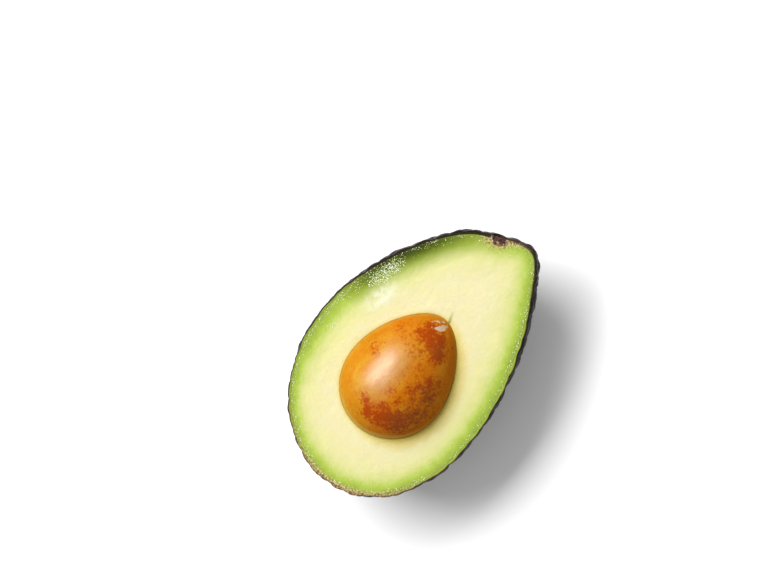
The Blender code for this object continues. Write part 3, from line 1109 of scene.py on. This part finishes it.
def make_stone_material():
    """Waxed orange-brown coat, blotched and speckled with red-brown, pale where it is chipped."""
    material, tree, shader, place = new_material(
        "avocado_stone", Coat_Roughness=0.46, Coat_IOR=1.76, Specular_IOR_Level=0.0
    )
    colour = blend(tree, patches_of(tree, place, 0.010, 0.38, 0.62), COAT_GOLD, COAT_ORANGE)
    colour = lay_on(tree, colour, attribute(tree, "deep_orange"), COAT_DEEP_ORANGE)
    colour = lay_on(tree, colour, patches_of(tree, place, 0.0045, 0.48, 0.68), COAT_PALE, 0.30)
    drawn_out = put(tree, "ShaderNodeMapping", {"Vector": place, "Scale": (1.0, 0.35, 1.0)})
    veins = patches_of(tree, drawn_out.outputs[0], 0.0017, 0.46, 0.66, fineness=5.0)
    colour = lay_on(tree, colour, veins, COAT_VEIN, 0.45)
    blotch = attribute(tree, "blotch")
    cloud = patches_of(tree, place, 0.0030, 0.20, 0.80, fineness=3.0)
    grit = patches_of(tree, place, 0.0009, 0.25, 0.75, fineness=3.0)
    broken = reckon(tree, "ADD", swing(tree, cloud, 0.70), swing(tree, grit, 0.72))
    dark = reckon(tree, "ADD", blotch, broken)
    dark = carry_over(tree, dark, 0.22, 1.00, easing="SMOOTHSTEP")
    darkest = blend(tree, attribute(tree, "purple"), BLOTCH_RED, BLOTCH_PURPLE)
    colour = lay_on(tree, colour, dark, darkest, 0.96)
    near = reckon(tree, "ADD", times(tree, blotch, 0.50), 0.32)
    specks = times(tree, specks_of(tree, place, 0.0007, 0.38, 0.48), near)
    colour = lay_on(tree, colour, specks, COAT_SPECK)
    # A pale gold ring along the stone's lower edge: partly moist coat, partly painted reflection of the
    # lit flesh.
    colour = lay_on(tree, colour, attribute(tree, "damp_and_reflection"), DAMP_GOLD_AND_REFLECTION)
    ragged = reckon(tree, "ADD", attribute(tree, "off_chip"), swing(tree, grit, 0.5))
    chip = carry_over(tree, ragged, 0.12, -0.10)
    feed_named(
        tree,
        shader,
        Base_Color=lay_on(tree, colour, chip, BARE_SEED),
        Roughness=carry_over(tree, chip, 0.0, 1.0, 0.42, 0.70),
        Coat_Weight=carry_over(tree, attribute(tree, "crown"), 0.0, 1.0, 0.08, 1.0),
        Subsurface_Weight=0.05,
        Subsurface_Radius=(1.0, 0.4, 0.1),
        Subsurface_Scale=0.001,
    )
    give_grain(tree, shader, place, (0.0013, 0.0005, 0.25), 0.35, 0.00014)
    return material


def distance_to_line(places, start, end):
    """Distance to a straight line from start to end, in the plane of the cut."""
    start, way = np.array(start), np.array(end) - np.array(start)
    share = np.clip((places[:, :2] - start) @ way / (way @ way), 0.0, 1.0)
    return np.linalg.norm(places[:, :2] - start - share[:, None] * way, axis=1)


def distance_off(places, corners):
    """Distance to a clockwise patch, less than nothing inside it, in the plane of the cut."""
    sides = list(zip(corners, corners[1:] + corners[:1]))
    away = np.min([distance_to_line(places, start, end) for start, end in sides], axis=0)
    inside = np.ones(len(places), bool)
    for start, end in sides:
        way = np.array(end) - np.array(start)
        offset = places[:, :2] - np.array(start)
        inside &= way[0] * offset[:, 1] - way[1] * offset[:, 0] < 0.0
    return np.where(inside, -away, away)


def make_stone():
    """The whole seed, with its blotches, its chip and its moist foot, partly a painted reflection,
    marked on it.
    """
    mesh = ball("avocado_stone", STONE_FACES)
    set_places(mesh, stone_outside(places_of(mesh)))
    places, outward = places_of(mesh), normals_of(mesh)
    local = ((places - STONE_MIDDLE) @ STONE_ROTATION) * 1000
    above_cut = (places[:, 2] - MIDDLE[2]) * 1000

    def spot(centre, radius):
        return np.exp(-np.sum((local[:, :2] - np.array(centre)) ** 2, axis=1) / radius**2)

    off_flake = distance_off(local, FLAKE)
    off_edge = distance_to_line(local, *FLAKE_EDGE) - FLAKE_EDGE_HALF_WIDTH
    # The ring along the lower edge is partly moist coat and partly painted reflection.
    bearing, reach = DAMP_AND_REFLECTION_BEARING
    turned = np.degrees(np.arctan2(local[:, 1], local[:, 0]))
    low_side = np.exp(-(((turned - bearing) / reach) ** 2))
    round_it = np.linspace(-math.pi, math.pi, 360, endpoint=False)
    from_edge = distance_to(places, stone_at_cut(round_it)) * 1000
    wide = 0.6 + 1.7 * low_side
    damp_and_reflection = np.clip((wide - from_edge) / (0.6 * wide), 0.0, 1.0) * (0.25 + 0.60 * low_side)
    to_the_right = np.clip((local[:, 0] + 2.5) / 7.0, 0.0, 1.0) * 0.9
    off_crown = np.sum(((local[:, :2] - WAXED_CENTRE) / WAXED_REACH) ** 4, axis=1)
    blotches = np.sum([share * spot(centre, radius) for centre, radius, share in BLOTCHES], axis=0)
    purple = np.sum([spot(centre, radius) for centre, radius in PURPLE_SPOTS], axis=0)
    marks = {
        "outward": outward,
        "blotch": np.clip(blotches, 0.0, 1.0),
        "purple": np.clip(purple, 0.0, 1.0),
        "deep_orange": np.maximum(to_the_right, 0.8 * spot(*ORANGE_SHOULDER)),
        "crown": np.exp(-off_crown) * (above_cut > 0.0),
        "off_chip": np.where(local[:, 2] > 0.0, np.minimum(off_flake, off_edge), 5.0),
        "damp_and_reflection": damp_and_reflection * (above_cut > -2.0),
    }
    for name, values in marks.items():
        write_on(mesh, name, values)
    set_places(mesh, places - outward * (off_flake[:, None] < 0.0) * FLAKE_DEPTH)
    return grow_relief(
        new_piece(mesh),
        make_stone_material(),
        seed=11,
        pebbles=(0.006, 0.00006, 2.0, 0.003),
        swells=(0.011, 0.00022),
        wrinkles=(0.0022, 0.00003),
    )


stone = make_stone()
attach(stone, "root")
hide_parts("stone")


# The scar of the stalk
# A plug of dark cork where the stalk broke off, which the knife cut through the middle. It sits in
# the dimple of the narrow end and is rough all over.

SCAR_DISH = 0.0005
SCAR_PROUD = 0.00008
ARC_STEPS = 40
CHORD_STEPS = 24
SIDE_ROWS = 30
FACE_ROWS_OF_SCAR = 16

CORK_RED = (0.100, 0.026, 0.016)
CORK_DARK = (0.020, 0.006, 0.005)
CRUMB_BROWN = (0.120, 0.045, 0.018)
CRUMB_TAN = (0.520, 0.360, 0.170)


def make_scar_material():
    """Dark red-brown cork with lighter crumbs."""
    material, tree, shader, place = new_material("stalk_scar", Roughness=0.75)
    cork = blend(tree, patches_of(tree, place, 0.0014, 0.35, 0.62), CORK_RED, CORK_DARK)
    crumbs = blend(tree, patches_of(tree, place, 0.0006, 0.42, 0.58), CRUMB_BROWN, CRUMB_TAN)
    ragged = swing(tree, patches_of(tree, place, 0.0016, 0.2, 0.8), 0.9)
    rind = carry_over(tree, reckon(tree, "ADD", attribute(tree, "rind"), ragged), 0.68, 0.82)
    feed_named(tree, shader, Base_Color=blend(tree, rind, cork, crumbs))
    give_grain(tree, shader, place, (0.0006, 0.0003, 0.8), 0.8, 0.00015)
    return material


def make_scar():
    """Half a turned plug: rings across it, each an arc under the cut and a chord in the cut."""
    end = fruit_outside(left_of_stalk_end(SCAR_BEARING)[None])[0]
    out = left_of_stalk_end(SCAR_TILT)
    side = np.array([out[1], -out[0], 0.0])
    arc = np.linspace(0.0, -math.pi, ARC_STEPS, endpoint=False)
    chord = np.linspace(-1.0, 1.0, CHORD_STEPS, endpoint=False)
    ring_side = np.concatenate((np.cos(arc), chord))
    ring_down = np.concatenate((np.sin(arc), np.zeros(CHORD_STEPS)))
    stations = []
    for step in range(1, SIDE_ROWS + 1):
        inward = math.cos(step / SIDE_ROWS * math.pi / 2)
        radius = SCAR_RADIUS * math.sqrt(1.0 - inward**SCAR_SQUARENESS)
        stations.append((radius, -SCAR_DEPTH * inward))
    for step in range(1, FACE_ROWS_OF_SCAR):
        share = 1.0 - step / FACE_ROWS_OF_SCAR
        stations.append((SCAR_RADIUS * share, -SCAR_DISH * (1.0 - share**2)))
    shape = bmesh.new()
    rows = []
    for radius, height in stations:
        ring = end + out * height + np.outer(ring_side * radius, side)
        ring[:, 2] += ring_down * radius + SCAR_PROUD
        rows.append([shape.verts.new(place) for place in ring])
    sew(rows, shape)
    close_over(rows[0], end - out * SCAR_DEPTH, shape)
    close_over(rows[-1], end - out * SCAR_DISH, shape)
    bmesh.ops.recalc_face_normals(shape, faces=shape.faces[:])
    mesh = mesh_of(shape, "avocado_stalk_scar")
    write_on(mesh, "outward", normals_of(mesh))
    away = places_of(mesh) - end
    across = np.hypot(away @ side, places_of(mesh)[:, 2] - MIDDLE[2]) / SCAR_RADIUS
    write_on(mesh, "rind", np.hypot(across, (away @ out) / SCAR_DEPTH))
    return grow_relief(
        new_piece(mesh),
        make_scar_material(),
        seed=13,
        pebbles=(0.0009, 0.0002, 1.0, 0.0006),
        swells=(0.0025, 0.00012),
        wrinkles=(0.0004, 0.00005),
    )


scar = make_scar()
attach(scar, "root")
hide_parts("stalk_scar")


# The table, the lamp and the camera
# A white table and a soft box lamp to the left of the fruit. The camera looks down on the cut face
# from a little to the right, turned so that the stalk end points to the upper right.

CAMERA_DISTANCE = 0.630
AIM_RIGHT = -0.00892
AIM_UP = 0.02120
AXIS_ANGLE = math.radians(50.92)
TILT_RIGHT = math.radians(6.0)
TILT_UP = math.radians(3.0)
LENS = 90.0
SENSOR = 36.0

LAMP_ELEVATION = math.radians(48.0)
LAMP_BEARING = math.radians(177.0)
LAMP_DISTANCE = 1.1
LAMP_WIDTH = 0.48
LAMP_LENGTH = 1.00
LAMP_POWER = 21.2
LIGHT_ROUND_THE_ROOM = ((0.00, 0.23), (0.15, 0.27), (0.35, 0.56), (0.60, 0.54), (0.90, 0.43))
GLOSS_HELD_BACK = 0.70
TABLE_WIDTH = 6.0
TABLE_WHITE = (0.90, 0.90, 0.90, 1.0)


def make_table():
    shape = bmesh.new()
    bmesh.ops.create_grid(shape, x_segments=1, y_segments=1, size=TABLE_WIDTH / 2)
    material = new_material(
        "white_table", Base_Color=TABLE_WHITE, Roughness=0.9, Specular_IOR_Level=0.0
    )[0]
    table = new_piece(mesh_of(shape, "table_top"), material)


def make_lamp():
    data = bpy.data.lights.new("soft_box", "AREA")
    data.shape = "RECTANGLE"
    data.size = LAMP_WIDTH
    data.size_y = LAMP_LENGTH
    data.energy = LAMP_POWER
    lamp = bpy.data.objects.new("soft_box", data)
    bpy.context.scene.collection.objects.link(lamp)
    flat = math.cos(LAMP_ELEVATION)
    way = Vector(
        (flat * math.cos(LAMP_BEARING), flat * math.sin(LAMP_BEARING), math.sin(LAMP_ELEVATION))
    )
    lamp.location = middle + way * LAMP_DISTANCE
    across = Vector((0.0, 1.0, 0.0)).cross(way).normalized()
    along = way.cross(across)
    turned = Matrix((across, along, way)).transposed()
    lamp.rotation_euler = turned.to_euler()


def make_room():
    """Even white walls, dimmer in the gloss of things, as dark cloths hung round a set make them."""
    world = bpy.data.worlds.new("white_room")
    world.use_nodes = True
    tree = world.node_tree
    background = tree.nodes["Background"]
    way = put(tree, "ShaderNodeTexCoord").outputs["Generated"]
    height = put(tree, "ShaderNodeSeparateXYZ", {0: way}).outputs[2]
    stops = [(place, (light, light, light)) for place, light in LIGHT_ROUND_THE_ROOM]
    tree.links.new(ramp(tree, height, stops), background.inputs["Color"])
    glossy = put(tree, "ShaderNodeLightPath").outputs["Is Glossy Ray"]
    strength = reckon(tree, "SUBTRACT", 1.0, times(tree, glossy, GLOSS_HELD_BACK))
    tree.links.new(strength, background.inputs["Strength"])
    bpy.context.scene.world = world


def make_camera():
    """Hangs over the cut face, aimed beside the fruit, which lies low in the picture."""
    right = Vector((math.sin(AXIS_ANGLE), math.cos(AXIS_ANGLE), 0.0))
    up = Vector((-math.cos(AXIS_ANGLE), math.sin(AXIS_ANGLE), 0.0))
    aim = middle + right * AIM_RIGHT + up * AIM_UP
    back = Vector((0.0, 0.0, 1.0)) + right * math.tan(TILT_RIGHT) + up * math.tan(TILT_UP)
    back.normalize()
    across = (right - back * right.dot(back)).normalized()
    upright = back.cross(across)
    data = bpy.data.cameras.new("camera")
    data.lens = LENS
    data.sensor_width = SENSOR
    camera = bpy.data.objects.new("camera", data)
    bpy.context.scene.collection.objects.link(camera)
    turned = Matrix((across, upright, back)).transposed()
    camera.matrix_world = Matrix.Translation(aim + back * CAMERA_DISTANCE) @ turned.to_4x4()
    bpy.context.scene.camera = camera


make_table()
make_lamp()
make_room()
make_camera()
bpy.context.scene.view_settings.view_transform = "Standard"
